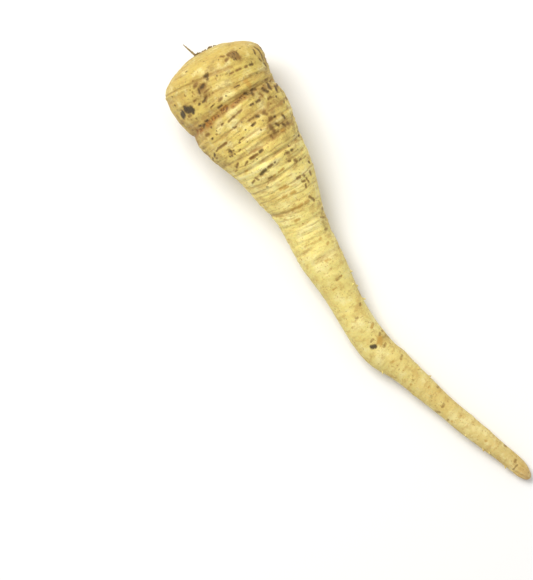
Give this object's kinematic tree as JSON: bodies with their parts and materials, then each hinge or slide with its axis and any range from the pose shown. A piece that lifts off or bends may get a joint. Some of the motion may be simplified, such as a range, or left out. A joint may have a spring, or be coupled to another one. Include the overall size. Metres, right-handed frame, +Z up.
{
  "type": "parsnip",
  "caption": "Whole raw parsnip with a thick ringed crown, a long gently bent tapering root and trimmed leaf-stalk stubs, lying on its side.",
  "frame": {"origin": "on the surface that the parsnip lies on, at the middle of its outline seen from above", "axes": "+Z up, +X from the crown towards the tip, +Y towards the side away from the bend"},
  "size_m": [0.2701, 0.0535, 0.0507],
  "materials": {
    "parsnip_skin": "matt to slightly waxy cream vegetable skin with brown ring scars, ochre lines and dark specks",
    "dried_leaf_base": "dry fibrous brown, cut leaf-stalk bases"
  },
  "bodies": {
    "root": {"parsnip_root": "parsnip_skin", "crown_leaf_stubs": "dried_leaf_base"}
  },
  "joints": []
}
